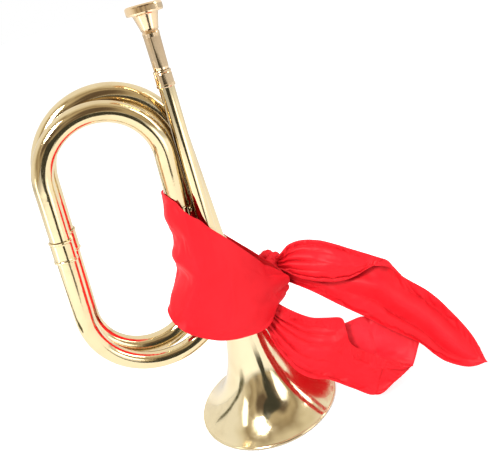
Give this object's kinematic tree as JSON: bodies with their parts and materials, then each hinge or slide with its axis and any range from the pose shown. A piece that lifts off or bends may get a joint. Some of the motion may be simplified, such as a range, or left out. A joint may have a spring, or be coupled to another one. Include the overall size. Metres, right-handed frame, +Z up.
{
  "type": "bugle",
  "caption": "Polished brass bugle wound in two oval turns, with a cup mouthpiece, a flared bell and a red satin scarf tied round the tubes above the bell.",
  "frame": {"origin": "centre of the bell mouth, on the plane of the bell rim; the bugle stands on its rim", "axes": "+Z up the bell axis towards the mouthpiece end; the two turns of tubing lie towards -X; the leadpipe runs in front of the bell tube, on the -Y side; +X is the side of the scarf knot"},
  "size_m": [0.288, 0.1673, 0.357],
  "materials": {
    "brass_bell": "polished and lacquered",
    "brass_tube": "polished and lacquered",
    "brass_mouthpiece": "polished",
    "red_satin": "thin satin, soft sheen"
  },
  "bodies": {
    "bugle": {"bell": "brass_bell", "bell_rim_wire": "brass_bell", "bell_ferrule": "brass_tube", "rear_upper_bow": "brass_tube", "rear_left_ferrule": "brass_tube", "rear_lower_bow": "brass_tube", "crossover_ferrule": "brass_tube", "crossover_tube": "brass_tube", "front_upper_bow": "brass_tube", "front_left_ferrule": "brass_tube", "front_lower_bow": "brass_tube", "leadpipe_ferrule": "brass_tube", "leadpipe": "brass_tube", "mouthpiece_receiver": "brass_tube", "stay_left_upper": "brass_tube", "stay_left_lower": "brass_tube", "stay_leadpipe_bell": "brass_tube", "stay_crossover_bell": "brass_tube", "scarf_wrap": "red_satin", "scarf_knot": "red_satin", "scarf_upper_tail": "red_satin", "scarf_lower_tail": "red_satin"},
    "mouthpiece": {"mouthpiece": "brass_mouthpiece"}
  },
  "joints": [
    {"name": "mouthpiece_slide", "type": "slide", "parent": "bugle", "child": "mouthpiece", "axis": [0.0556, 0.0178, 0.9983], "range_m": [0, 0.05]}
  ]
}
